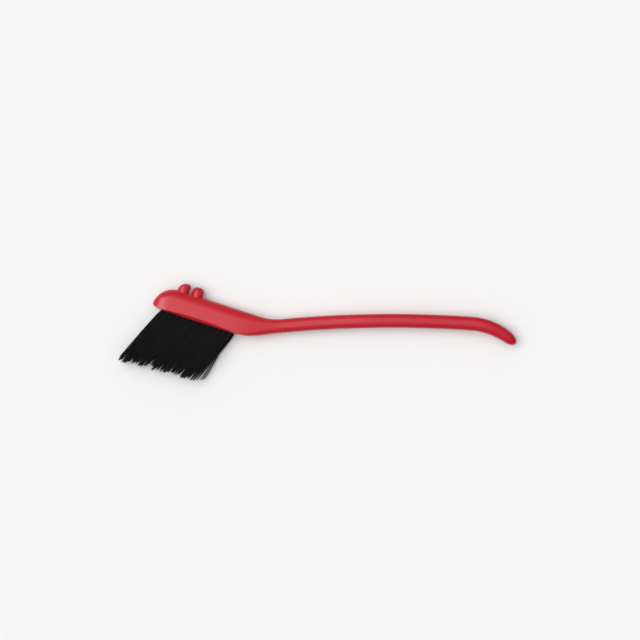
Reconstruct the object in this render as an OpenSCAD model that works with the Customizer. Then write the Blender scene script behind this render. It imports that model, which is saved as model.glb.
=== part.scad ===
// A crevice brush lying on its side.
// X runs along the handle, Y towards the back of the brush, Z across its width.
// The origin is at the middle of the box's underside.

/* [Head] */
// Height of the head, from its underside to its back
head_h = 20; // [17:0.2:24]
// Width of the head
head_w = 16; // [14:0.5:22]
// Angle by which the head slopes down towards the handle
head_tilt = 18; // [8:1:28]
// Length of the nose's rounding along the back
nose_len = 18.3; // [12:0.1:24]
// Height of the nose's foremost point above the underside
nose_low = 3; // [2:0.25:5]
// Length of the underside's upturn below the nose
nose_under_len = 12; // [6:0.5:16]
// Length of the nose's rounding seen from above
nose_plan = 14; // [8:0.5:18]
// Width of the rounding along each edge of the back
crown_w = 7.5; // [4:0.25:9]
// Height of the rounding along each edge of the back
crown_h = 8; // [4:0.25:10]
// Width of the bevel along each edge of the underside
bevel_w = 2.2; // [0.8:0.1:2.5]
// Height of that bevel at the middle of the bristle field
bevel_mid = 2.4; // [1:0.1:3]
// Height of that bevel at the ends of the bristle field
bevel_end = 1; // [0.5:0.1:2]

/* [Neck and handle] */
// Angle by which the neck turns up from the head's line
neck_turn = 24; // [14:1:32]
// Radius of the neck's bend along its middle
neck_r = 50; // [35:1:80]
// Distance over which the back drops from head to handle
back_drop_len = 29.5; // [20:0.5:45]
// Distance from the neck's start to where that drop begins
back_drop_lag = 1.5; // [0:0.5:8]
// Distance over which the underside rises from head to handle
under_rise_len = 30; // [22:0.5:45]
// Distance by which that rise begins ahead of the neck
under_rise_lead = 8; // [4:0.5:9]
// Height of the handle
handle_h = 11.4; // [9:0.2:15]
// Width of the waist between neck and grip
waist_w = 12.5; // [9:0.5:18]
// Distance over which the head narrows to the waist
waist_len = 38; // [25:1:60]
// Width of the grip
grip_w = 16; // [12:0.5:22]
// Distance over which the waist widens to the grip
swell_len = 84; // [40:2:100]
// Width and height of the rounding along the handle's edges
edge_round = 4.4; // [2.5:0.1:5]
// Length of the bowed part of the handle
bow_len = 167; // [130:0.5:220]
// Angle through which the handle bows down
bow_turn = 10; // [2:0.5:16]

/* [Tail] */
// Angle through which the tail bends down
tail_turn = 35; // [10:1:40]
// Radius of the tail's bend along its middle
tail_r = 56.5; // [35:0.5:80]
// Straight length behind the tail's bend
tail_len = 6.5; // [4:0.5:30]
// Height of the tail at its tip
tip_h = 9.8; // [8:0.2:13]
// Width of the tail at its tip
tip_w = 12.5; // [9:0.5:18]
// Length over which the grip tapers to the tip
taper_len = 32; // [20:1:60]
// Length of the tip's rounding
tip_round = 12; // [6:0.5:16]

/* [Studs] */
// Diameter of each stud
stud_d = 9.8; // [7:0.1:11]
// Height of each stud above the back
stud_h = 7.2; // [6:0.1:10]
// Gap between the two studs
stud_gap = 2.1; // [1:0.1:5]
// Distance from the nose to the middle of the front stud
stud_from_nose = 21; // [18:0.5:30]
// Radius of the rear stud's rounded top edge
rear_stud_round = 3.8; // [1:0.1:4.5]
// Radius of the front stud's rounded top edge
front_stud_round = 2.4; // [0.5:0.1:3]
// Distance by which the front stud's ramp is centred behind its middle
ramp_shift = 2; // [0.5:0.1:3]
// Step from the stud's rim in to its shank
stud_step = 0.2; // [0.1:0.05:0.5]
// Length of the shank in the head
shank_len = 4.5; // [3:0.25:6]

/* [Tuft holes] */
// Tufts in each of the two rows
tufts_per_row = 14; // [10:1:16]
// Distance between tufts along a row
tuft_pitch = 4.5; // [4:0.05:5.5]
// Distance by which the far row is set back, so that its tufts stand behind the near row's gaps
row_stagger = 2.25; // [0:0.05:2.75]
// Distance from the nose to the middle of the first tuft
nose_margin = 10; // [8.5:0.1:14]
// Distance from the middle of the last tuft to the neck
neck_margin = 7.6; // [6:0.1:14]
// Diameter of a tuft hole
hole_d = 3; // [2.4:0.1:3.4]
// Depth of a tuft hole
hole_depth = 8; // [6:0.25:9]
// Wall between a tuft hole and the bevel beside it
edge_wall = 1.4; // [0.6:0.1:2]
// Clearance round each piece that sits in the body
fit_gap = 0.05; // [0.02:0.01:0.1]

/* [Anchors] */
// Thickness of an anchor
anchor_t = 0.4; // [0.25:0.05:0.6]
// Height of an anchor along its hole
anchor_h = 1.6; // [1:0.1:2.5]
// Depth that each end of an anchor bites into the hole's wall
anchor_bite = 0.5; // [0.3:0.05:0.8]
// Thickness of the folded filament behind an anchor
fold_h = 0.9; // [0.5:0.1:1.5]

/* [Bristles] */
// Depth that the first tuft reaches below the underside
reach_front = 48.8; // [30:0.2:60]
// Depth that the last tuft reaches below the underside
reach_rear = 46; // [30:0.2:60]
// Lean of the first tuft towards the nose
lean_front = 23.2; // [5:0.2:30]
// Lean of the last tuft towards the nose
lean_rear = 22; // [5:0.2:30]
// Thickness of a strand
strand_d = 0.56; // [0.4:0.02:0.6]
// Space between a tip and its neighbours in the next tuft, or the head's side
tip_space = 0.3; // [0.2:0.05:0.6]
// Most by which one strand is longer or shorter than its tuft
strand_jag = 1.6; // [0:0.1:4]
// Most by which one tuft is longer or shorter than the field
tuft_jag = 0.8; // [0:0.1:3]

/* [Hidden] */
rows = ["near", "far"];
row_tufts = [for (i = [0:tufts_per_row - 1]) i];
function two_digits(n) = n < 10 ? str("0", n) : str(n);
function tuft_name(row, i) = str("tuft_", rows[row], "_", two_digits(i + 1));
body_red = "#c8373f";
stud_red = "#cf4049";
bristle_black = "#1b1a1a";
anchor_grey = "#b9bbbd";
$fn = 64;

// Easing between two sizes
function ease(t) = let (c = min(max(t, 0), 1)) c * c * (3 - 2 * c);
function mix(a, b, t) = a + (b - a) * t;
function round_off(t, power) = t <= 0 ? 1 : pow(max(0, 1 - pow(t, power)), 1 / power);

// Middle line of the body, as straight runs and arcs
field_len = (tufts_per_row - 1) * tuft_pitch + row_stagger;
neck_at = nose_margin + field_len + neck_margin;
arc = PI / 180;
runs = [
    [neck_at, 0],
    [neck_r * neck_turn * arc, neck_turn],
    [bow_len, -bow_turn],
    [tail_r * tail_turn * arc, -tail_turn],
    [tail_len, 0]
];
function sum_runs(i) = i < 0 ? 0 : runs[i][0] + sum_runs(i - 1);
body_end = sum_runs(len(runs) - 1);
least_bend = 0.0001;
function heading(a) = [cos(a), sin(a)];
function go(p, a, run, bend) =
    abs(bend) < least_bend ? p + run * heading(a)
    : let (r = run / (bend * arc)) p + r * [sin(a + bend) - sin(a), cos(a) - cos(a + bend)];
function spine(s, i = 0, p = [0, 0], a = -head_tilt) =
    s <= runs[i][0] || i == len(runs) - 1
        ? let (bend = runs[i][1] * s / runs[i][0]) [go(p, a, s, bend), a + bend]
        : spine(s - runs[i][0], i + 1, go(p, a, runs[i][0], runs[i][1]), a + runs[i][1]);
function beside(s, v) = let (c = spine(s)) c[0] + v * heading(c[1] + 90);

// Reach of the back and the underside from the middle line, before the ends are rounded
tip_shrink = (handle_h - tip_h) / 2;
function tip_taper(s) = ease((s - body_end + taper_len) / taper_len);
function reach_at(s, start, length) =
    mix(head_h / 2, handle_h / 2, ease((s - start) / length)) - tip_shrink * tip_taper(s);
function full_back(s) = reach_at(s, neck_at + back_drop_lag, back_drop_len);
function full_under(s) = reach_at(s, neck_at - under_rise_lead, under_rise_len);

// The nose is a quarter ellipse over a small round, and the tail ends in a blunt round
nose_power = 2;
tip_power = 2.3;
plan_power = 2.3;
function tail_round(s) = round_off((s - body_end + tip_round) / tip_round, tip_power);
function nose_back(s) =
    s >= nose_len ? head_h / 2
    : nose_low - head_h / 2 + (head_h - nose_low) * round_off(1 - s / nose_len, nose_power);
function nose_under(s) =
    s >= nose_under_len ? head_h / 2
    : head_h / 2 - nose_low * (1 - round_off(1 - s / nose_under_len, nose_power));
function back(s) = s < nose_len ? nose_back(s) : full_back(s) * tail_round(s);
function under(s) = s < nose_under_len ? nose_under(s) : full_under(s) * tail_round(s);

// Width along the body
waist_at = neck_at - under_rise_lead;
swell_at = waist_at + waist_len;
function full_width(s) =
    mix(
        mix(
            mix(head_w, waist_w, ease((s - waist_at) / waist_len)),
            grip_w,
            ease((s - swell_at) / swell_len)
        ),
        tip_w,
        tip_taper(s)
    );
function width(s) = full_width(s) * round_off(1 - s / nose_plan, plan_power) * tail_round(s);

// Cross-section, from the underside's middle round the near side to the back and down the far side.
// The roundings leave a flat in the middle of the back, and at least the rest of the side's height.
corner_steps = 5;
crown_steps = 7;
crown_flat = 0.5;
side_share = 0.46;
function handle_share(s) = ease((s - neck_at + under_rise_lead) / under_rise_len);
function bevel_h(s) =
    let (t = min(max((s - nose_margin) / field_len, 0), 1)) mix(bevel_end, bevel_mid, sin(180 * t));
function section(s) =
    let (
        w = width(s),
        h = back(s) + under(s),
        w_share = w / full_width(s),
        h_share = h / (full_back(s) + full_under(s)),
        handle = handle_share(s),
        half = w / 2,
        low_w = min(mix(bevel_w, edge_round, handle) * w_share, half - crown_flat * w_share),
        low_h = min(mix(bevel_h(s), edge_round, handle), side_share * head_h) * h_share,
        top_w = min(mix(crown_w, edge_round, handle) * w_share, half - crown_flat * w_share),
        top_h = min(mix(crown_h, edge_round, handle) * h_share, side_share * h),
        power = 2 / (1 + handle),
        low = [
            for (k = [0:corner_steps]) let (a = 90 * k / corner_steps)
                [half - low_w + low_w * pow(sin(a), power), low_h * (1 - pow(cos(a), power))]
        ],
        top = [
            for (k = [0:crown_steps]) let (a = 90 * k / crown_steps)
                [half - top_w + top_w * cos(a), h - top_h + top_h * sin(a)]
        ],
        side = concat(low, top)
    )
    concat(side, [for (k = [len(side) - 1:-1:0]) [-side[k][0], side[k][1]]]);
function ring(s) =
    let (c = spine(s), out = heading(c[1] + 90), base = c[0] - under(s) * out)
    [for (q = section(s)) [base[0] + q[1] * out[0], base[1] + q[1] * out[1], q[0]]];

// Stations along the body, close together where it turns or rounds off
nose_steps = 10;
head_steps = 8;
neck_steps = 14;
bow_steps = 13;
tail_steps = 13;
tip_steps = 10;
neck_end = neck_at + max(runs[1][0], back_drop_lag + back_drop_len);
bow_end = sum_runs(2);
tip_at = body_end - tip_round;
function between(a, b, steps) = [for (k = [1:steps]) mix(a, b, k / steps)];
stations = concat(
    [for (k = [1:nose_steps]) nose_len * (1 - cos(90 * k / nose_steps))],
    between(nose_len, waist_at, head_steps),
    between(waist_at, neck_end, neck_steps),
    between(neck_end, bow_end, bow_steps),
    between(bow_end, tip_at, tail_steps),
    [for (k = [1:tip_steps - 1]) tip_at + tip_round * sin(90 * k / tip_steps)]
);
rings = [for (s = stations) ring(s)];
ring_size = len(rings[0]);
nose_point = beside(0, nose_low - head_h / 2);
tail_point = beside(body_end, 0);
body_points = concat(
    [[nose_point[0], nose_point[1], 0]],
    [for (r = rings) each r],
    [[tail_point[0], tail_point[1], 0]]
);
last_ring = 1 + (len(rings) - 1) * ring_size;
body_faces = concat(
    [for (j = [0:ring_size - 1]) [0, 1 + (j + 1) % ring_size, 1 + j]],
    [
        for (i = [0:len(rings) - 2]) for (j = [0:ring_size - 1])
            let (a = 1 + i * ring_size + j, b = 1 + i * ring_size + (j + 1) % ring_size)
            each [[a, b + ring_size, a + ring_size], [a, b, b + ring_size]]
    ],
    [
        for (j = [0:ring_size - 1])
            [last_ring + j, last_ring + (j + 1) % ring_size, len(body_points) - 1]
    ]
);

// Tufts: where each starts on the underside, and how far it leans
hole_r = hole_d / 2;
plug_r = hole_r - fit_gap;
row_z = head_w / 2 - bevel_w - edge_wall - hole_r;
function row_side(row) = row == 0 ? 1 : -1;
function lean(i) = mix(lean_front, lean_rear, i / (tufts_per_row - 1));
function reach(i) = mix(reach_front, reach_rear, i / (tufts_per_row - 1));
function tuft_foot(row, i) = beside(nose_margin + i * tuft_pitch + row * row_stagger, -head_h / 2);
function along_row(i) = heading(-head_tilt - lean(i));
function into_head(i) = heading(90 - head_tilt - lean(i));

// Strands of one tuft: a middle one and two rings, spread evenly from the hole to the tips
ring_counts = [1, 5, 10];
ring_stagger = 0.25;
ring_step = (plug_r - strand_d / 2) / (len(ring_counts) - 1) - fit_gap;
strand_feet = [
    for (k = [0:len(ring_counts) - 1]) for (j = [0:ring_counts[k] - 1])
        let (a = 360 * (j + k * ring_stagger) / ring_counts[k]) k * [cos(a), sin(a)]
];
strands = len(strand_feet);
rim = len(ring_counts) - 1;
tip_drift = reach_front * tan(lean_front) - reach_rear * tan(lean_rear);
tip_pitch = tuft_pitch + tip_drift / (tufts_per_row - 1);
function tip_spread_along(i) = (tip_pitch * cos(lean(i)) - strand_d - tip_space) / 2;
tip_outer_z = head_w / 2 - tip_space - strand_d / 2;
tip_inner_z = tip_space / 2 + strand_d / 2;
tip_mid_z = (tip_outer_z + tip_inner_z) / 2;
tip_spread_z = (tip_outer_z - tip_inner_z) / 2;
jag_seed = 7;
tuft_lengths = rands(-tuft_jag, tuft_jag, 2 * tufts_per_row, jag_seed);
strand_lengths = rands(-strand_jag, strand_jag, 2 * tufts_per_row * strands, jag_seed + 1);
function strand_len(row, i, k) =
    let (tuft = row * tufts_per_row + i)
    reach(i) / cos(lean(i)) + tuft_lengths[tuft] + strand_lengths[tuft * strands + k];

// Each strand starts this deep in the hole, spreads slowly as far as its waist and then faster
sunk = 0.9;
waist_share = 0.4;
waist_spread = 0.28;
tip_taper_share = 0.8;
function spread_at(t) =
    t <= waist_share ? waist_spread * t / waist_share
    : mix(waist_spread, 1, (t - waist_share) / (1 - waist_share));
function strand_ring(row, i, k, t) =
    let (
        foot = strand_feet[k],
        root = [row_side(row) * row_z + ring_step * foot[0], ring_step * foot[1]],
        tip = [
            row_side(row) * tip_mid_z + tip_spread_z * foot[0] / rim,
            tip_spread_along(i) * foot[1] / rim
        ],
        c = mix(root, tip, spread_at(t)),
        r = strand_d / 2 * mix(1, tip_taper_share, t),
        z = t == 0 ? sunk : -t * strand_len(row, i, k)
    )
    [for (a = [0:120:240]) [c[0] + r * cos(a), c[1] + r * sin(a), z]];
function strand_points(row, i, k) = [for (t = [0, waist_share, 1]) each strand_ring(row, i, k, t)];
strand_faces = [
    [0, 2, 1], [6, 7, 8],
    for (k = [0, 3]) for (j = [0:2])
        let (a = k + j, b = k + (j + 1) % 3) each [[a, b + 3, a + 3], [a, b, b + 3]]
];

// Studs: both stand square to the back of the head
shank_r = stud_d / 2 - stud_step;
ramp_slack = 0.15;
ramp_r = stud_d / 2 + ramp_shift + ramp_slack;
stud_places = [stud_from_nose, stud_from_nose + stud_d + stud_gap];

// The box of the whole brush, which sets the origin
function tip_place(row, i, q) = tuft_foot(row, i) + q[1] * along_row(i) + q[2] * into_head(i);
tip_places = [
    for (row = [0, 1]) for (i = row_tufts) for (k = [0:strands - 1])
        for (q = strand_ring(row, i, k, 1)) tip_place(row, i, q)
];
ramp_top = beside(stud_places[0] + ramp_shift, head_h / 2 + stud_h - ramp_r)[1] + ramp_r;
low_x = min(min([for (p = tip_places) p[0]]), min([for (p = body_points) p[0]]));
high_x = max([for (p = body_points) p[0]]);
low_y = min(min([for (p = tip_places) p[1]]), min([for (p = body_points) p[1]]));
high_y = max(ramp_top, max([for (p = body_points) p[1]]));
half_width = max([for (p = body_points) p[2]]);
middle = [(low_x + high_x) / 2, (low_y + high_y) / 2];

module on_its_side() {
    translate([-middle[0], -middle[1], half_width]) children();
}

// Local axes of a tuft: X across the brush, Y along the row, Z into the head
module at_tuft(row, i) {
    f = tuft_foot(row, i);
    y = along_row(i);
    z = into_head(i);
    multmatrix([[0, y[0], z[0], f[0]], [0, y[1], z[1], f[1]], [1, 0, 0, 0], [0, 0, 0, 1]]) children();
}

// Local axes of a stud: Z out of the back, X towards the handle
module at_stud(which) {
    f = beside(stud_places[which], head_h / 2);
    translate([f[0], f[1], 0]) rotate([0, 0, -head_tilt]) rotate([-90, 0, 0]) children();
}

module anchor_bar(gap) {
    across = hole_d + 2 * anchor_bite;
    z = hole_depth - fold_h - anchor_h / 2;
    translate([0, 0, z]) cube([across + 2 * gap, anchor_t + 2 * gap, anchor_h + 2 * gap], center = true);
}

module tuft_hole(row) {
    translate([row_side(row) * row_z, 0, 0]) {
        translate([0, 0, -hole_d]) cylinder(h = hole_depth + hole_d, r = hole_r);
        anchor_bar(fit_gap);
    }
}

module stud_socket() {
    translate([0, 0, -shank_len - fit_gap]) cylinder(h = shank_len + stud_h, r = shank_r + fit_gap);
}

module brush_body() {
    color(body_red) on_its_side() difference() {
        polyhedron(points = body_points, faces = body_faces);
        for (row = [0, 1]) for (i = row_tufts) at_tuft(row, i) tuft_hole(row);
        for (which = [0, 1]) at_stud(which) stud_socket();
    }
}

// A stud's head with a rounded top edge, on its shank
module stud_blank(edge_r) {
    rotate_extrude() {
        translate([0, -shank_len]) square([shank_r, shank_len + stud_h / 2]);
        square([stud_d / 2, stud_h - edge_r]);
        square([stud_d / 2 - edge_r, stud_h]);
        translate([stud_d / 2 - edge_r, stud_h - edge_r]) intersection() {
            circle(r = edge_r);
            square(2 * edge_r);
        }
    }
}

module stud_front() {
    color(stud_red) on_its_side() at_stud(0) intersection() {
        stud_blank(front_stud_round);
        translate([ramp_shift, 0, stud_h - ramp_r]) {
            sphere(r = ramp_r);
            translate([0, 0, -shank_len - stud_h]) cylinder(h = shank_len + stud_h, r = ramp_r);
        }
    }
}

module stud_rear() {
    color(stud_red) on_its_side() at_stud(1) stud_blank(rear_stud_round);
}

module tuft_anchors() {
    color(anchor_grey) on_its_side()
        for (row = [0, 1]) for (i = row_tufts) at_tuft(row, i)
            translate([row_side(row) * row_z, 0, 0]) anchor_bar(0);
}

// A tuft: the packed root that fills its hole, and the strands that grow out of it
module tuft(row, i) {
    color(bristle_black) on_its_side() at_tuft(row, i) {
        difference() {
            translate([row_side(row) * row_z, 0, 0]) cylinder(h = hole_depth - fit_gap, r = plug_r);
            translate([row_side(row) * row_z, 0, 0]) anchor_bar(fit_gap);
        }
        for (k = [0:strands - 1]) polyhedron(points = strand_points(row, i, k), faces = strand_faces);
    }
}

brush_body();
stud_front();
stud_rear();
tuft_anchors();
for (row = [0, 1]) for (i = row_tufts) tuft(row, i);
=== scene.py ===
import math
import random

import bmesh
import bpy
from mathutils import Matrix, Vector


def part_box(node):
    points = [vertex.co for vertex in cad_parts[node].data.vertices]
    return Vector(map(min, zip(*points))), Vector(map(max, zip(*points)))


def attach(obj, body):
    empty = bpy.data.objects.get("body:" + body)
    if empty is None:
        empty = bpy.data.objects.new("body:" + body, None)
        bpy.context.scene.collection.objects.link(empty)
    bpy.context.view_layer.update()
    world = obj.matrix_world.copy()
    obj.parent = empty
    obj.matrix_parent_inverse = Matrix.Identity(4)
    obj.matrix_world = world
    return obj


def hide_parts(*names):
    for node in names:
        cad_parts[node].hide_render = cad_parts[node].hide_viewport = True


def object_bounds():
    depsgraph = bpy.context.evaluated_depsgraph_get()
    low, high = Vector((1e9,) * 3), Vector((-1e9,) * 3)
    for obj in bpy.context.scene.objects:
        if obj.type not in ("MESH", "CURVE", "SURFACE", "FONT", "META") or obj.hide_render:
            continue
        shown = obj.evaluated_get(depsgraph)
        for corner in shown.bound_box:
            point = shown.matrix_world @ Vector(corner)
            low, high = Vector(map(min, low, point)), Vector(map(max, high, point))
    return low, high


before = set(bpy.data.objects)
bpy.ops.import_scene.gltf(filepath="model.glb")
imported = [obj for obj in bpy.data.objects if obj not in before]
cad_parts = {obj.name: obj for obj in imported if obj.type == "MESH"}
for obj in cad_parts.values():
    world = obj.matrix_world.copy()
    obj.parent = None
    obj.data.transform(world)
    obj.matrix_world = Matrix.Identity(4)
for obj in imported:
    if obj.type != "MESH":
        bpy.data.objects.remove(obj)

cadBox = [list(corner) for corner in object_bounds()]
mm = 0.001

# camera, straight above the brush as it lies on its side
view = {
    "centre": (2.01 * mm, 9.98 * mm),  # what the middle of the picture looks at
    "frameWide": 531 * mm,             # how much of the floor the picture's width takes in
    "focusHigh": 8 * mm,               # height at which that width is measured
    "distance": 2.4,                   # from there up to the camera, in metres
    "sensor": 36.0,                    # in camera millimetres
    "clipEnd": 20,
}


def makeCamera():
    data = bpy.data.cameras.new("camera")
    data.sensor_width = view["sensor"]
    data.lens = view["sensor"] * view["distance"] / view["frameWide"]
    data.clip_end = view["clipEnd"]
    camera = bpy.data.objects.new("camera", data)
    camera.location = (*view["centre"], view["distance"] + view["focusHigh"])
    bpy.context.scene.collection.objects.link(camera)
    bpy.context.scene.camera = camera


makeCamera()
print("camera ready")


# small helpers for curves and meshes
def ease(t):
    t = min(max(t, 0.0), 1.0)
    return t * t * (3 - 2 * t)


def mix(a, b, t):
    return a + (b - a) * t


def roundOff(t, power):
    return 1.0 if t <= 0 else max(0.0, 1 - t ** power) ** (1 / power)


def steps(low, high, count):
    return [mix(low, high, k / count) for k in range(1, count + 1)]


def shadeSmooth(data, sharpFrom=30):
    data.polygons.foreach_set("use_smooth", [True] * len(data.polygons))
    data.set_sharp_from_angle(angle=math.radians(sharpFrom))


def meshObject(name, mesh, material, sharpFrom=30):
    data = bpy.data.meshes.new(name)
    mesh.to_mesh(data)
    mesh.free()
    data.materials.append(material)
    shadeSmooth(data, sharpFrom)
    piece = bpy.data.objects.new(name, data)
    bpy.context.scene.collection.objects.link(piece)
    return piece


def applyModifiers(piece):
    done = bpy.data.meshes.new_from_object(piece.evaluated_get(bpy.context.evaluated_depsgraph_get()))
    piece.modifiers.clear()
    piece.data = done
    done.name = piece.name
    shadeSmooth(done)


def addPiece(piece, slot, *nodes):
    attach(piece, "root")
    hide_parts(*nodes)


# materials
def newMaterial(name):
    material = bpy.data.materials.new(name)
    material.use_nodes = True
    tree = material.node_tree
    return material, tree, tree.nodes["Principled BSDF"]


def link(tree, source, target):
    tree.links.new(source, target)


def newGroup(name, inputs, outputs):
    group = bpy.data.node_groups.new(name, "ShaderNodeTree")
    for label, value in inputs.items():
        group.interface.new_socket(label, in_out="INPUT", socket_type="NodeSocketFloat").default_value = value
    for label in outputs:
        group.interface.new_socket(label, in_out="OUTPUT", socket_type="NodeSocketFloat")
    return group, group.nodes.new("NodeGroupInput").outputs, group.nodes.new("NodeGroupOutput").inputs


def useGroup(tree, group, **values):
    node = tree.nodes.new("ShaderNodeGroup")
    node.node_tree = group
    for label, value in values.items():
        node.inputs[label].default_value = value
    return node.outputs


def noise(tree, vector, scale, detail=2.0, rough=0.5):
    node = tree.nodes.new("ShaderNodeTexNoise")
    node.inputs["Detail"].default_value = detail
    node.inputs["Roughness"].default_value = rough
    link(tree, vector, node.inputs["Vector"])
    if isinstance(scale, bpy.types.NodeSocket):
        link(tree, scale, node.inputs["Scale"])
    else:
        node.inputs["Scale"].default_value = scale
    return node.outputs["Fac"]


def maths(tree, operation, first, second=0.5, third=0.5):
    node = tree.nodes.new("ShaderNodeMath")
    node.operation = operation
    for socket, value in zip(node.inputs, (first, second, third)):
        if isinstance(value, bpy.types.NodeSocket):
            link(tree, value, socket)
        else:
            socket.default_value = value
    return node.outputs["Value"]


def remap(tree, value, low, high, newLow, newHigh, smooth=False):
    node = tree.nodes.new("ShaderNodeMapRange")
    node.interpolation_type = "SMOOTHSTEP" if smooth else "LINEAR"
    for label, amount in zip(("Value", "From Min", "From Max", "To Min", "To Max"),
                             (value, low, high, newLow, newHigh)):
        if isinstance(amount, bpy.types.NodeSocket):
            link(tree, amount, node.inputs[label])
        else:
            node.inputs[label].default_value = amount
    return node.outputs["Result"]


def blend(tree, factor, first, second):
    node = tree.nodes.new("ShaderNodeMix")
    node.data_type = "RGBA"
    link(tree, factor, node.inputs["Factor"])
    for socket, value in zip((node.inputs[6], node.inputs[7]), (first, second)):   # colours A and B
        if isinstance(value, bpy.types.NodeSocket):
            link(tree, value, socket)
        else:
            socket.default_value = value
    return node.outputs[2]


def bumpFrom(tree, shader, height, strength, deep):
    bump = tree.nodes.new("ShaderNodeBump")
    bump.inputs["Strength"].default_value = strength
    bump.inputs["Distance"].default_value = deep
    link(tree, height, bump.inputs["Height"])
    link(tree, bump.outputs["Normal"], shader.inputs["Normal"])


def objectCoords(tree):
    return tree.nodes.new("ShaderNodeTexCoord").outputs["Object"]


def stretched(tree, vector, scale, turn=0.0):
    node = tree.nodes.new("ShaderNodeMapping")
    node.inputs["Scale"].default_value = scale
    node.inputs["Rotation"].default_value = (0.0, 0.0, turn)
    link(tree, vector, node.inputs["Vector"])
    return node.outputs["Vector"]


# a noise is given by its scale, its detail and its roughness
skinSet = {
    "fine": (3.0, 0.62),             # detail and roughness of the fine grain
    "pebble": 0.34,                  # scale of the coarser grain, as a share of the fine one's
    "pebbleHigh": 0.7,               # and its height
    "grainGloss": 0.07,              # how much the gloss changes from grain to grain
    "drift": (42.0, 3.0, 0.55),
    "driftFrom": (0.32, 0.68),
    "cloud": (95.0, 3.0),
    "cloudLong": (0.3, 1.0, 1.0),    # drawn out along the brush
    "cloudFrom": (0.3, 0.7),
    "cloudTo": (-0.2, 0.2),
    # painted shade: share of the paler colour where the painted gradient starts and where it ends
    "paintedShadeTo": (0.9, 0.1),
}


# fine spark-eroded grain of a moulded skin, with slow drifts of gloss and of tone drawn out along the brush,
# and painted shade that runs from paler at low x to deeper at high x
def makeMouldedSkin():
    group, given, result = newGroup("mouldedSkin", {
        "Grain": 3800.0, "Gloss Low": 0.3, "Gloss High": 0.4, "Painted Shade Start": -0.1, "Painted Shade End": 0.1,
    }, ("Height", "Roughness", "Tone And Painted Shade"))
    at = objectCoords(group)
    fine = noise(group, at, given["Grain"], *skinSet["fine"])
    pebble = noise(group, at, maths(group, "MULTIPLY", given["Grain"], skinSet["pebble"]))
    link(group, maths(group, "MULTIPLY_ADD", pebble, skinSet["pebbleHigh"], fine), result["Height"])
    drift = noise(group, at, *skinSet["drift"])
    patch = remap(group, drift, *skinSet["driftFrom"], given["Gloss Low"], given["Gloss High"], smooth=True)
    middle = maths(group, "SUBTRACT", patch, skinSet["grainGloss"] / 2)
    link(group, maths(group, "MULTIPLY_ADD", fine, skinSet["grainGloss"], middle), result["Roughness"])
    cloud = noise(group, stretched(group, at, skinSet["cloudLong"]), *skinSet["cloud"])
    cloud = remap(group, cloud, *skinSet["cloudFrom"], *skinSet["cloudTo"])
    # painted shade: paler towards low x and deeper towards high x, added to the random cloud of tone
    split = group.nodes.new("ShaderNodeSeparateXYZ")
    link(group, at, split.inputs["Vector"])
    paintedShade = remap(group, split.outputs["X"], given["Painted Shade Start"], given["Painted Shade End"], *skinSet["paintedShadeTo"])
    link(group, maths(group, "ADD", paintedShade, cloud), result["Tone And Painted Shade"])
    return group


rubSet = {
    "patches": (420.0, 4.0, 0.6),
    "patchFrom": (0.38, 0.62),
    "patchTo": (0.15, 1.0),
}


# edges rubbed a little paler and duller, broken up so that no edge wears evenly
def makeEdgeRub():
    group, given, result = newGroup("edgeRub", {"Start": 0.53, "Full": 0.6, "Amount": 0.5}, ("Mask",))
    point = group.nodes.new("ShaderNodeNewGeometry").outputs["Pointiness"]
    edge = remap(group, point, given["Start"], given["Full"], 0.0, 1.0, smooth=True)
    patches = noise(group, objectCoords(group), *rubSet["patches"])
    worn = remap(group, patches, *rubSet["patchFrom"], *rubSet["patchTo"])
    link(group, maths(group, "MULTIPLY", maths(group, "MULTIPLY", edge, worn), given["Amount"]),
         result["Mask"])
    return group


hairSet = {
    "runs": ((0.12, 1.0), (-0.35, 0.7)),   # turn and scale of each run of lines
    "long": 0.035,                         # drawn out along the brush
    "scale": 1500.0,
    "thin": (0.69, 0.73),
    "patches": (55.0, 2.0),
    "patchFrom": (0.45, 0.6),
}


# hairlines from handling, mostly along the brush, that only show in the gloss
def makeHairlines():
    group, given, result = newGroup("hairlines", {"Density": 1.0, "Amount": 0.5}, ("Mask",))
    at = objectCoords(group)
    lines = None
    for turn, scale in hairSet["runs"]:
        along = stretched(group, at, (hairSet["long"] * scale, scale, scale), turn)
        streak = noise(group, along, maths(group, "MULTIPLY", given["Density"], hairSet["scale"]))
        thin = remap(group, streak, *hairSet["thin"], 0.0, 1.0)
        lines = thin if lines is None else maths(group, "MAXIMUM", lines, thin)
    patches = noise(group, at, *hairSet["patches"])
    patches = remap(group, patches, *hairSet["patchFrom"], 0.0, 1.0, smooth=True)
    link(group, maths(group, "MULTIPLY", maths(group, "MULTIPLY", lines, patches), given["Amount"]),
         result["Mask"])
    return group


mouldedSkin = makeMouldedSkin()
edgeRub = makeEdgeRub()
hairlines = makeHairlines()

bodyLook = {
    # deep is the colour of the painted shaded end and bright of the painted lit end; the tone between them is
    # painted shade plus a random cloud of real tone
    "deep": (0.525, 0.003, 0.02, 1),
    "bright": (0.575, 0.014, 0.024, 1),
    "paintedShade": (-0.06, 0.12),           # painted shade: from the paler, lit head to the deeper, shaded tail
    "rubbed": (0.7, 0.1, 0.1, 1),
    "specular": 0.33,
    "gloss": (0.27, 0.35),
    "grain": 3800.0,                 # grains to a metre, about 0.26 mm each
    "grainStrength": 0.14,
    "grainDeep": 0.02 * mm,
    "rub": 0.4,
    "rubDull": 0.15,                 # how much duller the rubbed edges are
    "hairlines": 0.07,
}

studLook = {
    "deep": (0.54, 0.012, 0.026, 1),
    "bright": (0.58, 0.018, 0.034, 1),
    # painted shade across each stud: paler on the side towards the nose, deeper on the side away from it
    "paintedShade": (-0.12, -0.08),
    "rubbed": (0.68, 0.08, 0.09, 1),
    "specular": 0.27,
    "gloss": (0.33, 0.41),
    "grain": 5200.0,
    "grainStrength": 0.09,
    "grainDeep": 0.015 * mm,
    "rub": 0.45,
    "rubDull": 0.15,
    "hairlines": 0.05,
}


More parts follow.
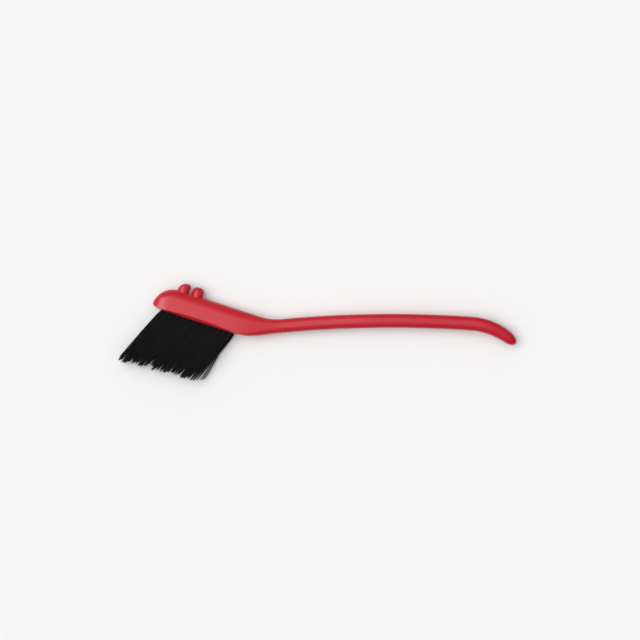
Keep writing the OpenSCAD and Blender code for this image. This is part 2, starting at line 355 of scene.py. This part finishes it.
def redPlastic(name, look):
    material, tree, shader = newMaterial(name)
    low, high = look["gloss"]
    # where the painted shade gradient starts and ends along x
    paintedShadeStart, paintedShadeEnd = look["paintedShade"]
    skin = useGroup(tree, mouldedSkin, **{
        "Grain": look["grain"], "Gloss Low": low, "Gloss High": high,
        "Painted Shade Start": paintedShadeStart, "Painted Shade End": paintedShadeEnd,
    })
    rub = useGroup(tree, edgeRub, Amount=look["rub"])["Mask"]
    marks = useGroup(tree, hairlines, Amount=look["hairlines"])["Mask"]
    # the skin's tone is a random cloud plus painted shade: the deep colour stands for shade, the bright one
    # for light
    tone = blend(tree, skin["Tone And Painted Shade"], look["deep"], look["bright"])
    link(tree, blend(tree, rub, tone, look["rubbed"]), shader.inputs["Base Color"])
    dulled = maths(tree, "MULTIPLY_ADD", rub, look["rubDull"], skin["Roughness"])
    link(tree, maths(tree, "ADD", dulled, marks), shader.inputs["Roughness"])
    shader.inputs["Specular IOR Level"].default_value = look["specular"]
    bumpFrom(tree, shader, skin["Height"], look["grainStrength"], look["grainDeep"])
    return material


strandLook = {
    "dark": (0.002, 0.0019, 0.0019, 1),
    "pale": (0.0056, 0.0054, 0.0054, 1),
    "tip": (0.009, 0.0086, 0.0082, 1),
    "specular": 0.16,
    "gloss": (0.42, 0.6),
    "tipFrom": 0.9,                  # share of the length at which the paler tip begins
    "drawn": (900.0, 3.0, 0.6),
    "drawnFrom": (0.4, 1.6),
    "bump": (0.15, 0.01 * mm),
}


# drawn filament: each strand has its own tone, kept on the mesh, and its cut tip is a little paler
def strandPlastic(look):
    material, tree, shader = newMaterial("bristle")
    kept = tree.nodes.new("ShaderNodeAttribute")
    kept.attribute_name = "tone"
    along = tree.nodes.new("ShaderNodeAttribute")
    along.attribute_name = "share"
    tone = blend(tree, kept.outputs["Fac"], look["dark"], look["pale"])
    tip = remap(tree, along.outputs["Fac"], look["tipFrom"], 1.0, 0.0, 1.0, smooth=True)
    link(tree, blend(tree, tip, tone, look["tip"]), shader.inputs["Base Color"])
    low, high = look["gloss"]
    drawn = noise(tree, objectCoords(tree), *look["drawn"])
    gloss = remap(tree, maths(tree, "ADD", drawn, kept.outputs["Fac"]), *look["drawnFrom"], high, low)
    link(tree, gloss, shader.inputs["Roughness"])
    shader.inputs["Specular IOR Level"].default_value = look["specular"]
    bumpFrom(tree, shader, drawn, *look["bump"])
    return material


steelLook = {
    "dark": (0.46, 0.46, 0.47, 1),
    "bright": (0.64, 0.64, 0.65, 1),
    "gloss": (0.22, 0.4),
    "rub": 0.6,
    "drawnLong": (1.0, 1.0, 0.06),
    "drawn": (9000.0, 3.0, 0.6),
    "drawnFrom": (0.3, 0.7),
    "bump": (0.2, 0.01 * mm),
}


# flat wire, drawn across the brush and cut to length
def anchorSteel(look):
    material, tree, shader = newMaterial("anchorSteel")
    lines = noise(tree, stretched(tree, objectCoords(tree), look["drawnLong"]), *look["drawn"])
    rub = useGroup(tree, edgeRub, Amount=look["rub"])["Mask"]
    tone = blend(tree, lines, look["dark"], look["bright"])
    link(tree, blend(tree, rub, tone, look["bright"]), shader.inputs["Base Color"])
    link(tree, remap(tree, lines, *look["drawnFrom"], *look["gloss"]), shader.inputs["Roughness"])
    shader.inputs["Metallic"].default_value = 1
    bumpFrom(tree, shader, lines, *look["bump"])
    return material


redBody = redPlastic("redBody", bodyLook)
redStud = redPlastic("redStud", studLook)
blackStrand = strandPlastic(strandLook)
steel = anchorSteel(steelLook)
print("materials ready")

# body: a head, a bent neck, a bowed handle and a down-turned tail round one middle line
body = {
    "headHigh": 20 * mm,
    "headWide": 16 * mm,
    "headTilt": math.radians(18),
    "noseLong": 18.3 * mm,       # rounding of the nose along the back
    "noseLow": 3 * mm,           # height of the nose's foremost point
    "noseUnder": 12 * mm,        # upturn of the underside below the nose
    "nosePlan": 14 * mm,         # rounding of the nose across the width
    "crownWide": 7.5 * mm,       # rounding of the head's back
    "crownHigh": 8 * mm,
    "bevelWide": 2.9 * mm,       # bevel along each edge of the underside
    "bevelMid": 2.4 * mm,        # its height at the middle of the bristle field
    "bevelEnd": 1 * mm,          # and at the field's ends
    "bevelPower": 1.9,           # 2 is a flat bevel and 1 a full round
    "neckAt": 78.35 * mm,
    "neckTurn": math.radians(24),
    "neckRadius": 50 * mm,
    "backDropLong": 29.5 * mm,
    "backDropLag": 1.5 * mm,
    "underRiseLong": 30 * mm,
    "underRiseLead": 8 * mm,
    "handleHigh": 11.4 * mm,
    "waistWide": 12.5 * mm,
    "waistLong": 38 * mm,
    "gripWide": 16 * mm,
    "swellLong": 84 * mm,
    "edgeRound": 4.4 * mm,
    "bowLong": 167 * mm,
    "bowTurn": math.radians(10),
    "tailTurn": math.radians(35),
    "tailRadius": 56.5 * mm,
    "tailLong": 6.5 * mm,
    "tipHigh": 9.8 * mm,
    "tipWide": 12.5 * mm,
    "taperLong": 32 * mm,
    "tipRound": 12 * mm,
    "nosePower": 2,
    "endPower": 2.3,
    "seamHigh": 0.07 * mm,       # parting line that the two halves of the mould leave
    "seamWide": 0.16 * mm,
    "holdEdge": 0.35 * mm,       # how tightly the sharp lower edges are held
    "lowShare": 0.94,            # most of half the width that a rounding takes
    "highShare": 0.46,           # and of the height
    "cornerSteps": 5,
    "crownSteps": 8,
    "noseRings": 13,
    "headRings": 12,
    "neckRings": 16,
    "bowRings": 18,
    "tailRings": 14,
    "tipRings": 11,
    "leastTurn": 1e-7,           # a run that turns less is straight
}

# length and turn of each run of the middle line, from the nose to the tail
runs = [
    (body["neckAt"], 0),
    (body["neckRadius"] * body["neckTurn"], body["neckTurn"]),
    (body["bowLong"], -body["bowTurn"]),
    (body["tailRadius"] * body["tailTurn"], -body["tailTurn"]),
    (body["tailLong"], 0),
]
bodyEnd = sum(run for run, turn in runs)


def heading(angle):
    return Vector((math.cos(angle), math.sin(angle)))


def spine(along):
    point, angle = Vector((0, 0)), -body["headTilt"]
    for step, (run, turn) in enumerate(runs):
        part = along if along <= run or step == len(runs) - 1 else run
        turned = turn * part / run
        if abs(turned) < body["leastTurn"]:
            point = point + part * heading(angle)
        else:
            radius = part / turned
            point = point + radius * Vector((
                math.sin(angle + turned) - math.sin(angle), math.cos(angle) - math.cos(angle + turned)))
        angle += turned
        along -= part
        if along <= 0:
            break
    return point, angle


def taper(along):
    return ease((along - bodyEnd + body["taperLong"]) / body["taperLong"])


def tailRound(along):
    return roundOff((along - bodyEnd + body["tipRound"]) / body["tipRound"], body["endPower"])


# half of the height, before the nose and the tail are rounded
def fullReach(along, begins, long):
    reach = mix(body["headHigh"], body["handleHigh"], ease((along - begins) / long)) / 2
    return reach - (body["handleHigh"] - body["tipHigh"]) / 2 * taper(along)


def fullBack(along):
    return fullReach(along, body["neckAt"] + body["backDropLag"], body["backDropLong"])


def fullUnder(along):
    return fullReach(along, body["neckAt"] - body["underRiseLead"], body["underRiseLong"])


def backReach(along):
    if along >= body["noseLong"]:
        return fullBack(along) * tailRound(along)
    rise = roundOff(1 - along / body["noseLong"], body["nosePower"])
    return body["noseLow"] - body["headHigh"] / 2 + (body["headHigh"] - body["noseLow"]) * rise


def underReach(along):
    if along >= body["noseUnder"]:
        return fullUnder(along) * tailRound(along)
    rise = roundOff(1 - along / body["noseUnder"], body["nosePower"])
    return body["headHigh"] / 2 - body["noseLow"] * (1 - rise)


def fullWidth(along):
    waistAt = body["neckAt"] - body["underRiseLead"]
    waist = mix(body["headWide"], body["waistWide"], ease((along - waistAt) / body["waistLong"]))
    grip = mix(waist, body["gripWide"], ease((along - waistAt - body["waistLong"]) / body["swellLong"]))
    return mix(grip, body["tipWide"], taper(along))


def fieldLong():
    return (tufts["perRow"] - 1) * tufts["pitch"] + tufts["stagger"]


# half-way round from the underside's middle to the back's middle, then mirrored
def outline(along):
    wide = fullWidth(along) * roundOff(1 - along / body["nosePlan"], body["endPower"]) * tailRound(along)
    high = backReach(along) + underReach(along)
    wideShare = wide / fullWidth(along)
    highShare = high / (fullBack(along) + fullUnder(along))
    handle = ease((along - body["neckAt"] + body["underRiseLead"]) / body["underRiseLong"])
    field = min(max((along - tufts["noseMargin"]) / fieldLong(), 0), 1)
    bevel = mix(body["bevelEnd"], body["bevelMid"], math.sin(math.pi * field))
    half = wide / 2
    widest = half * body["lowShare"]
    lowWide = min(mix(body["bevelWide"], body["edgeRound"], handle) * wideShare, widest)
    lowHigh = mix(bevel, body["edgeRound"], handle) * highShare
    topWide = min(mix(body["crownWide"], body["edgeRound"], handle) * wideShare, widest)
    topHigh = min(mix(body["crownHigh"], body["edgeRound"], handle) * highShare, body["highShare"] * high)
    power = mix(body["bevelPower"], 1, handle)
    seam = body["seamHigh"] * wideShare
    hold = body["holdEdge"] * wideShare
    flat = half - lowWide
    points = [(0, -seam), (body["seamWide"] * wideShare, 0), (flat / 2, 0), (flat - hold, 0)]
    for k in range(body["cornerSteps"] + 1):
        angle = math.pi / 2 * k / body["cornerSteps"]
        points.append((flat + lowWide * math.sin(angle) ** power, lowHigh * (1 - math.cos(angle) ** power)))
    points.append((half, lowHigh + hold * highShare))
    points.append((half, (lowHigh + high - topHigh) / 2))
    for k in range(body["crownSteps"] + 1):
        angle = math.pi / 2 * k / body["crownSteps"]
        points.append((half - topWide * (1 - math.cos(angle)), high - topHigh * (1 - math.sin(angle))))
    points.append((body["seamWide"] * wideShare, high))
    points.append((0, high + seam))
    return points + [(-x, y) for x, y in points[-2:0:-1]]


# a point beside the middle line, towards the back, and across the brush
def spot(along, beside, across):
    point, angle = spine(along)
    point = point + beside * heading(angle + math.pi / 2)
    return Vector((point.x, point.y, across))


# tufts stand in two rows of holes along the head's underside
tufts = {
    "perRow": 14,
    "pitch": 4.5 * mm,
    "stagger": 2.25 * mm,        # how far the far row is set back
    "noseMargin": 10 * mm,
    "rowOut": 2.9 * mm,          # from the brush's middle plane to a row
    "holeWide": 3 * mm,
    "holeDeep": 8 * mm,
    "holeSides": 24,
    "gap": 0.05 * mm,            # left round what sits in a hole
    "reachFront": 48.8 * mm,     # how far the bristles stand out of the head
    "reachRear": 46 * mm,
    "leanFront": math.radians(23.2),
    "leanRear": math.radians(22),
}

studs = {
    "wide": 9.8 * mm,
    "high": 7.2 * mm,
    "gap": 2.1 * mm,
    "fromNose": 21 * mm,
    "rearRound": 3.8 * mm,
    "frontRound": 2.4 * mm,
    "rampShift": 2 * mm,         # how far back the ramp of the front stud is centred
    "rampSlack": 0.15 * mm,
    "step": 0.2 * mm,            # from the stud's side in to its shank
    "footRound": 0.18 * mm,      # small round at the foot, which leaves a dark line round each stud
    "shankLong": 4.5 * mm,
    "socketSides": 48,
    "footSteps": 4,
    "wallSteps": 4,
    "domeSteps": 8,
    "flatSteps": 6,
    "turnSteps": 56,
    "weld": 0.001 * mm,
}


def bodyStations():
    noseLong, neckAt = body["noseLong"], body["neckAt"]
    waistAt = neckAt - body["underRiseLead"]
    neckEnd = neckAt + body["backDropLag"] + body["backDropLong"]
    bowEnd = neckAt + runs[1][0] + runs[2][0]
    tipAt = bodyEnd - body["tipRound"]
    noseRings, tipRings = body["noseRings"], body["tipRings"]
    nose = [noseLong * (1 - math.cos(math.pi / 2 * k / noseRings)) for k in range(1, noseRings + 1)]
    tip = [tipAt + body["tipRound"] * math.sin(math.pi / 2 * k / tipRings) for k in range(1, tipRings)]
    return (nose + steps(noseLong, waistAt, body["headRings"]) + steps(waistAt, neckEnd, body["neckRings"])
            + steps(neckEnd, bowEnd, body["bowRings"]) + steps(bowEnd, tipAt, body["tailRings"]) + tip)


def closeEnd(mesh, edges, point):
    face = bmesh.ops.contextual_create(mesh, geom=edges)["faces"][0]
    centre = bmesh.ops.poke(mesh, faces=[face])["verts"][0]
    centre.co = point


# one ring is extruded from station to station and laid on each outline
def loftBody():
    mesh = bmesh.new()
    place = mesh.verts.layers.int.new("place")
    stations = bodyStations()
    count = len(outline(stations[0]))
    ring = bmesh.ops.create_circle(mesh, segments=count, radius=body["headWide"])["verts"]
    for k, vert in enumerate(ring):
        vert[place] = k
    edges = mesh.edges[:]
    firstEdges = edges
    for number, along in enumerate(stations):
        if number:
            grown = bmesh.ops.extrude_edge_only(mesh, edges=edges)["geom"]
            ring = [g for g in grown if isinstance(g, bmesh.types.BMVert)]
            edges = [g for g in grown if isinstance(g, bmesh.types.BMEdge) and g.is_boundary]
        points = outline(along)
        for vert in ring:
            x, y = points[vert[place]]
            vert.co = spot(along, y - underReach(along), x)
    closeEnd(mesh, firstEdges, spot(0, body["noseLow"] - body["headHigh"] / 2, 0))
    closeEnd(mesh, edges, spot(bodyEnd, 0, 0))
    bmesh.ops.recalc_face_normals(mesh, faces=mesh.faces)
    return mesh


def cutter(name, mesh):
    data = bpy.data.meshes.new(name)
    mesh.to_mesh(data)
    mesh.free()
    tool = bpy.data.objects.new(name, data)
    bpy.context.scene.collection.objects.link(tool)
    return tool


# frames with z along a hole: into the head for a tuft, out of its back for a stud
def holeFrame(row, number):
    share = number / (tufts["perRow"] - 1)
    lean = mix(tufts["leanFront"], tufts["leanRear"], share)
    along = tufts["noseMargin"] + number * tufts["pitch"] + row * tufts["stagger"]
    foot = start + spot(along, -body["headHigh"] / 2, 0)
    foot.z += tufts["rowOut"] * (1 if row == 0 else -1)
    back = heading(-body["headTilt"] - lean).to_3d()
    into = heading(math.pi / 2 - body["headTilt"] - lean).to_3d()
    turn = Matrix((Vector((0, 0, 1)), back, into)).transposed().to_4x4()
    return Matrix.Translation(foot) @ turn


def studFrame(which):
    along = studs["fromNose"] + which * (studs["wide"] + studs["gap"])
    foot = start + spot(along, body["headHigh"] / 2, 0)
    forward = heading(-body["headTilt"]).to_3d()
    out = heading(math.pi / 2 - body["headTilt"]).to_3d()
    turn = Matrix((forward, Vector((0, 0, -1)), out)).transposed().to_4x4()
    return Matrix.Translation(foot) @ turn


# a round hole from low to high along its frame's z
def addHole(mesh, place, radius, low, high, sides):
    middle = Matrix.Translation((0, 0, (low + high) / 2))
    bmesh.ops.create_cone(mesh, cap_ends=True, segments=sides, radius1=radius, radius2=radius,
                          depth=high - low, matrix=place @ middle)


def allHoles():
    holes = bmesh.new()
    for row in range(2):
        for number in range(tufts["perRow"]):
            addHole(holes, holeFrame(row, number), tufts["holeWide"] / 2, -tufts["holeWide"],
                    tufts["holeDeep"], tufts["holeSides"])
    socket = studs["wide"] / 2 - studs["step"] + tufts["gap"]
    for which in range(2):
        addHole(holes, studFrame(which), socket, -studs["shankLong"] - tufts["gap"], studs["high"],
                studs["socketSides"])
    return holes


def makeBody(mesh):
    piece = meshObject("brushBody", mesh, redBody)
    smooth = piece.modifiers.new("smooth", "SUBSURF")
    smooth.levels = smooth.render_levels = 1
    tool = cutter("holes", allHoles())
    cut = piece.modifiers.new("holes", "BOOLEAN")
    cut.operation = "DIFFERENCE"
    cut.object = tool
    applyModifiers(piece)
    bpy.data.objects.remove(tool)
    addPiece(piece, "red_plastic", "brush_body")


# the loft starts at the nose, so it moves to where the frame has the body
bodyMesh = loftBody()
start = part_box("brush_body")[0] - Vector([min(v.co[k] for v in bodyMesh.verts) for k in range(3)])
bmesh.ops.translate(bodyMesh, verts=bodyMesh.verts, vec=start)
makeBody(bodyMesh)
print("body ready")


# half of a stud's section, turned about its own axis
def studBlank(edgeRound):
    radius, high = studs["wide"] / 2, studs["high"]
    shank = radius - studs["step"]
    foot = studs["footRound"]
    flat = radius - edgeRound
    footSteps, wallSteps = studs["footSteps"], studs["wallSteps"]
    domeSteps, flatSteps = studs["domeSteps"], studs["flatSteps"]
    profile = [(0, -studs["shankLong"]), (shank, -studs["shankLong"]), (shank, 0), (radius - foot, 0)]
    for k in range(1, footSteps + 1):
        angle = math.pi / 2 * k / footSteps
        profile.append((radius - foot * (1 - math.sin(angle)), foot * (1 - math.cos(angle))))
    profile += [(radius, mix(foot, high - edgeRound, k / wallSteps)) for k in range(1, wallSteps)]
    for k in range(domeSteps + 1):
        angle = math.pi / 2 * k / domeSteps
        profile.append((radius - edgeRound * (1 - math.cos(angle)), high - edgeRound * (1 - math.sin(angle))))
    profile += [(flat * (1 - k / flatSteps), high) for k in range(1, flatSteps + 1)]
    mesh = bmesh.new()
    verts = [mesh.verts.new((x, 0, z)) for x, z in profile]
    edges = [mesh.edges.new(pair) for pair in zip(verts, verts[1:])]
    bmesh.ops.spin(mesh, geom=verts + edges, axis=(0, 0, 1), cent=(0, 0, 0), steps=studs["turnSteps"],
                   angle=2 * math.pi, use_merge=True)
    bmesh.ops.remove_doubles(mesh, verts=mesh.verts, dist=studs["weld"])
    return mesh


def makeStud(name, node, which, edgeRound, ramped):
    mesh = studBlank(edgeRound)
    if ramped:
        rampRadius = studs["wide"] / 2 + studs["rampShift"] + studs["rampSlack"]
        for vert in mesh.verts:
            out = math.hypot(vert.co.x - studs["rampShift"], vert.co.y)
            limit = studs["high"] - rampRadius + math.sqrt(max(rampRadius ** 2 - out ** 2, 0))
            vert.co.z = min(vert.co.z, limit)
    bmesh.ops.recalc_face_normals(mesh, faces=mesh.faces)
    bmesh.ops.transform(mesh, matrix=studFrame(which), verts=mesh.verts)
    piece = meshObject(name, mesh, redStud)
    addPiece(piece, "stud_plastic", node)


makeStud("studFront", "stud_front", 0, studs["frontRound"], True)
makeStud("studRear", "stud_rear", 1, studs["rearRound"], False)
print("studs ready")

# strands: each tuft leaves its hole tight, opens out to fill its share of the field and ends in ragged clumps
strands = {
    "perTuft": 110,
    "thick": 0.3 * mm,
    "tipThick": 0.8,                 # share of the thickness that is left at the tip
    "sides": 4,
    "rings": (-0.13, 0, 0.045, 0.11, 0.22, 0.5, 0.78, 0.89, 1),   # the first one lies in the hole
    "pastMiddle": 1.5 * mm,          # how far the two rows mix
    "outerGap": 0.4 * mm,            # left free at the sides of the brush
    "spread": 1.2,                   # power that holds the rows apart near the head
    "fan": 0.72,                     # share of the spread along the row that comes right below the hole
    "fanLong": 0.055,                # and how soon, as a share of the length
    "acrossEven": 0.9,               # the least share of its place across the brush that a tip reaches
    "alongJag": 0.12 * mm,
    # broad clumps with a notch between them, and thin wisps within them: how far apart they stand, the share
    # by which they close up, and how much their lengths differ
    "clump": {"pitch": (5 * mm, 9.5 * mm), "pull": (0.13, 0.26), "jag": 0.9 * mm},
    "wisp": {"pitch": (1.3 * mm, 2.8 * mm), "pull": (0.1, 0.6), "jag": 1.1 * mm},
    "pullEven": 0.9,                 # the least share of a clump's pull that a strand follows
    "clumpFrom": 0.76,               # share of the length at which the clumps begin
    "fieldOver": 1.1,                # the clumps cover a little more than the field
    "fieldMargin": 8 * mm,           # and reach past both of its ends
    "strandJag": 0.7 * mm,
    "sway": 0.25 * mm,
    "trim": 0.7 * mm,                # shortest cut, so that the longest tips end with the field
    "strays": (1.9 * mm, 3.4 * mm),  # how far the bundles at the rear edge stand off the field at their tips
    "strayShort": 3 * mm,
    "strayCount": 8,                 # strands in each bundle
    "strayPitch": 0.1 * mm,
    "strayFrom": 0.3,
    "strayRoot": 0.5,                # they come out of the rear part of the last tuft
    "keepIn": 0.15 * mm,             # least distance from the sides of the part's box
    "sharpFrom": 100,                # in degrees, so that a strand looks round
    "seed": 4,
}

dice = random.Random(strands["seed"])


# one straight strand of unit size, which knows the ring and the side of each of its points
def strandTemplate():
    mesh = bmesh.new()
    ring = mesh.verts.layers.int.new("ring")
    side = mesh.verts.layers.int.new("side")
    mesh.verts.layers.float.new("tone")
    mesh.verts.layers.float.new("share")
    bmesh.ops.create_circle(mesh, segments=strands["sides"], radius=1)
    for number, vert in enumerate(mesh.verts):
        vert[side] = number
    edges = mesh.edges[:]
    bmesh.ops.contextual_create(mesh, geom=edges)
    for number in range(1, len(strands["rings"])):
        grown = bmesh.ops.extrude_edge_only(mesh, edges=edges)["geom"]
        for part in grown:
            if isinstance(part, bmesh.types.BMVert):
                part[ring] = number
        edges = [g for g in grown if isinstance(g, bmesh.types.BMEdge)
                 and all(v[ring] == number for v in g.verts)]
    bmesh.ops.contextual_create(mesh, geom=edges)
    data = bpy.data.meshes.new("strand")
    mesh.to_mesh(data)
    mesh.free()
    return data


# a disc stretched to fill a square, both from -1 to 1
def discToSquare(x, y):
    def one(a, b):
        even, odd = 2 + a * a - b * b, 2 * math.sqrt(2) * a
        return (math.sqrt(max(even + odd, 0)) - math.sqrt(max(even - odd, 0))) / 2
    return one(x, y), one(y, x)


def clumpLine(kind):
    line, at = [], -strands["fieldMargin"]
    while at < fieldLong() * strands["fieldOver"] + strands["fieldMargin"]:
        line.append((at, dice.gauss(0, 1) * kind["jag"], dice.uniform(*kind["pull"])))
        at += dice.uniform(*kind["pitch"])
    return line


# how much longer and how far along the row a strand ends for the clump that it belongs to
def gathered(line, at):
    middle, long, pull = min(line, key=lambda c: abs(c[0] - at))
    return long, (middle - at) * pull * dice.uniform(strands["pullEven"], 1)


strand = strandTemplate()
clumps, wisps = clumpLine(strands["clump"]), clumpLine(strands["wisp"])
frontTip = tufts["reachFront"] * math.tan(tufts["leanFront"])
rearTip = tufts["reachRear"] * math.tan(tufts["leanRear"])
tipPitch = tufts["pitch"] + (frontTip - rearTip) / (tufts["perRow"] - 1)


# a strand is stamped from the template and bent along its course, in the frame of its hole, and its faces
# point outwards as they are: recalculating them turns about half of the strands inside out
def growStrand(mesh, place, course):
    rootX, rootY = course["root"]
    tipX, tipY = course["tip"]
    swayX, swayY = course["sway"]
    mesh.from_mesh(strand)
    mesh.verts.ensure_lookup_table()
    layers = mesh.verts.layers
    ring, corner = layers.int["ring"], layers.int["side"]
    toneLayer, shareLayer = layers.float["tone"], layers.float["share"]
    for vert in mesh.verts[-len(strand.vertices):]:
        share = strands["rings"][vert[ring]]
        t = max(share, 0)
        spread = t ** strands["spread"]
        fan = mix(t, 1 - math.exp(-t / strands["fanLong"]), strands["fan"])
        bend = math.sin(math.pi * t)
        stand = ease((t - strands["strayFrom"]) / (1 - strands["strayFrom"]))
        gather = ease((t - strands["clumpFrom"]) / (1 - strands["clumpFrom"]))
        turn = 2 * math.pi * vert[corner] / strands["sides"] + course["turn"]
        thick = strands["thick"] / 2 * (1 if course["stray"] else mix(1, strands["tipThick"], t))
        x = mix(rootX, tipX, spread) + swayX * bend + thick * math.cos(turn)
        y = mix(rootY, tipY, fan) + swayY * bend + course["pulled"] * gather + course["stray"] * stand
        vert.co = place @ Vector((x, y + thick * math.sin(turn), -share * course["long"]))
        vert[toneLayer] = course["tone"]
        vert[shareLayer] = t


def makeTuft(row, number):
    name = ("tuftNear", "tuftFar")[row] + f"{number + 1:02d}"
    node = ("tuft_near_", "tuft_far_")[row] + f"{number + 1:02d}"
    share = number / (tufts["perRow"] - 1)
    lean = mix(tufts["leanFront"], tufts["leanRear"], share)
    reach = mix(tufts["reachFront"], tufts["reachRear"], share) / math.cos(lean) - strands["trim"]
    rootRadius = tufts["holeWide"] / 2 - tufts["gap"] - strands["thick"] / 2
    halfAlong = tipPitch * math.cos(lean) / 2
    halfAcross = (body["headWide"] / 2 - strands["outerGap"] + strands["pastMiddle"]) / 2
    side = 1 if row == 0 else -1
    rowShift = side * (halfAcross - strands["pastMiddle"] - tufts["rowOut"])
    base = (number * tipPitch + row * tufts["stagger"]) * math.cos(lean)
    place = holeFrame(row, number)
    mesh = bmesh.new()
    rear = row == 1 and number == tufts["perRow"] - 1
    strayed = 0
    for k in range(strands["perTuft"]):
        out = math.sqrt((k + 0.5) / strands["perTuft"])
        turn = k * math.pi * (3 - math.sqrt(5))   # golden angle, so that the roots fill the hole evenly
        x, y = out * math.cos(turn), out * math.sin(turn)
        squareX, squareY = discToSquare(x, y)
        tipX = rowShift + squareX * halfAcross * dice.uniform(strands["acrossEven"], 1)
        tipY = squareY * halfAlong + dice.gauss(0, 1) * strands["alongJag"]
        clumpLong, clumpPulled = gathered(clumps, base + tipY)
        wispLong, wispPulled = gathered(wisps, base + tipY)
        pulled = clumpPulled + wispPulled
        sway = [dice.gauss(0, 1) * strands["sway"] for axis in range(2)]
        long = reach + clumpLong + wispLong + dice.gauss(0, 1) * strands["strandJag"]
        stray = 0
        bundle, within = divmod(strayed, strands["strayCount"])
        if rear and squareY > strands["strayRoot"] and bundle < len(strands["strays"]):
            stray = halfAlong - tipY - pulled + strands["strays"][bundle] + within * strands["strayPitch"]
            long = reach - strands["strayShort"] * (bundle + 0.5) + dice.gauss(0, 1) * strands["strandJag"]
            tipX, sway = rowShift, (0, 0)
            strayed += 1
        for axis in range(2):
            tip = place @ Vector((tipX, tipY + pulled + stray, -long))
            long -= max(cadBox[0][axis] + strands["keepIn"] - tip[axis], 0) / place[axis][2]
        growStrand(mesh, place, {
            "root": (x * rootRadius, y * rootRadius), "tip": (tipX, tipY), "sway": sway, "pulled": pulled,
            "stray": stray, "long": long, "turn": turn, "tone": dice.random(),
        })
    for label in ("ring", "side"):
        mesh.verts.layers.int.remove(mesh.verts.layers.int[label])
    addPiece(meshObject(name, mesh, blackStrand, strands["sharpFrom"]), "bristle", node)


for row in range(2):
    for number in range(tufts["perRow"]):
        makeTuft(row, number)
print("tufts ready")

# the anchors are the frame's own
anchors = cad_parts["tuft_anchors"]
anchors.data.materials.clear()
anchors.data.materials.append(steel)

# floor, lights and world
studio = {
    "floorWide": 8.0,
    "floorLow": -0.02 * mm,
    "floorGrey": 0.93,
    "floorRough": 0.9,
    "floorBounce": 0.6,             # how pale the floor is to the light that it throws back on the brush
    "backdropGrey": 0.93,
    "zenith": 0.78,                 # strength of the soft light from the bright side
    "horizon": 0.09,                # and from the dark side
    "brightSide": (-0.25, 0.12, 1.0),
    "keyStrength": 1.6,
    "keyFrom": (-0.42, 0.1, 1.0),
    "keyAngle": math.radians(55),
    "boxPower": 1.8,                # softbox over the nose, which only shows in the gloss
    "boxSize": (0.34, 0.3),
    "boxAt": (-0.41, -0.02, 0.41),
    "boxAim": (-0.13, 0.02, 0.0),
}


# 1 where the floor is looked at, itself or in the gloss, and 0 where it lights the brush
def seenDirectly(tree):
    path = tree.nodes.new("ShaderNodeLightPath")
    seen = path.outputs["Is Camera Ray"]
    for other in ("Is Glossy Ray", "Is Transmission Ray"):
        seen = maths(tree, "MAXIMUM", seen, path.outputs[other])
    return seen


def makeFloor():
    mesh = bmesh.new()
    bmesh.ops.create_grid(mesh, x_segments=1, y_segments=1, size=studio["floorWide"] / 2,
                          matrix=Matrix.Translation((0, 0, studio["floorLow"])))
    material, tree, shader = newMaterial("paleCard")
    pale, bounce = ((grey, grey, grey, 1) for grey in (studio["floorGrey"], studio["floorBounce"]))
    link(tree, blend(tree, seenDirectly(tree), bounce, pale), shader.inputs["Base Color"])
    shader.inputs["Roughness"].default_value = studio["floorRough"]
    shader.inputs["Specular IOR Level"].default_value = 0
    meshObject("floor", mesh, material)


def addLight(name, kind, energy, towards):
    data = bpy.data.lights.new(name, kind)
    data.energy = energy
    light = bpy.data.objects.new(name, data)
    light.rotation_euler = towards.to_track_quat("Z", "Y").to_euler()
    bpy.context.scene.collection.objects.link(light)
    return light


def makeLights():
    key = addLight("keyLight", "SUN", studio["keyStrength"], Vector(studio["keyFrom"]))
    key.data.angle = studio["keyAngle"]
    aim = Vector(studio["boxAt"]) - Vector(studio["boxAim"])
    softBox = addLight("softBox", "AREA", studio["boxPower"], aim)
    softBox.location = studio["boxAt"]
    softBox.data.shape = "RECTANGLE"
    softBox.data.size, softBox.data.size_y = studio["boxSize"]
    softBox.visible_diffuse = softBox.visible_camera = False


# a soft dome of light, brightest above and towards the nose, which the camera sees as pale card
def makeWorld():
    world = bpy.data.worlds.new("studioWorld")
    world.use_nodes = True
    tree = world.node_tree
    background = tree.nodes["Background"]
    towards = tree.nodes.new("ShaderNodeVectorMath")
    towards.operation = "DOT_PRODUCT"
    link(tree, tree.nodes.new("ShaderNodeTexCoord").outputs["Generated"], towards.inputs[0])
    towards.inputs[1].default_value = Vector(studio["brightSide"]).normalized()
    light = remap(tree, towards.outputs["Value"], 0.0, 1.0, studio["horizon"], studio["zenith"])
    path = tree.nodes.new("ShaderNodeLightPath")
    seen = maths(tree, "MAXIMUM", path.outputs["Is Camera Ray"], path.outputs["Is Transmission Ray"])
    strength = remap(tree, seen, 0.0, 1.0, light, studio["backdropGrey"])
    link(tree, strength, background.inputs["Strength"])
    background.inputs["Color"].default_value = (1, 1, 1, 1)
    bpy.context.scene.world = world


makeFloor()
makeLights()
makeWorld()
print("studio ready")

bpy.context.scene.view_settings.view_transform = "Standard"
